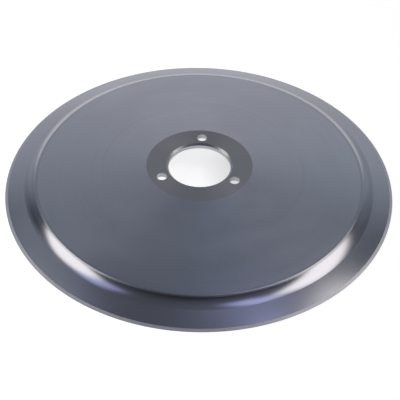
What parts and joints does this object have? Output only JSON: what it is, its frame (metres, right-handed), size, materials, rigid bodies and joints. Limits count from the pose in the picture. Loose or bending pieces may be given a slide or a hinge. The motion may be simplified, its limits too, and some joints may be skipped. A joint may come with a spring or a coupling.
{
  "type": "food slicer blade",
  "caption": "Round dished steel blade for a food slicer, ground to a cutting edge all round, with a flat hub seat, a bore and a ring of screw holes.",
  "frame": {"origin": "centre of the cutting edge's circle, in the plane of the edge that the blade lies on", "axes": "+Z along the blade's axis towards the hub seat, +Y towards the first screw hole"},
  "size_m": [0.25, 0.25, 0.0165],
  "materials": {
    "blade_steel": "ground satin"
  },
  "bodies": {
    "root": {"slicer_blade": "blade_steel"}
  },
  "joints": []
}
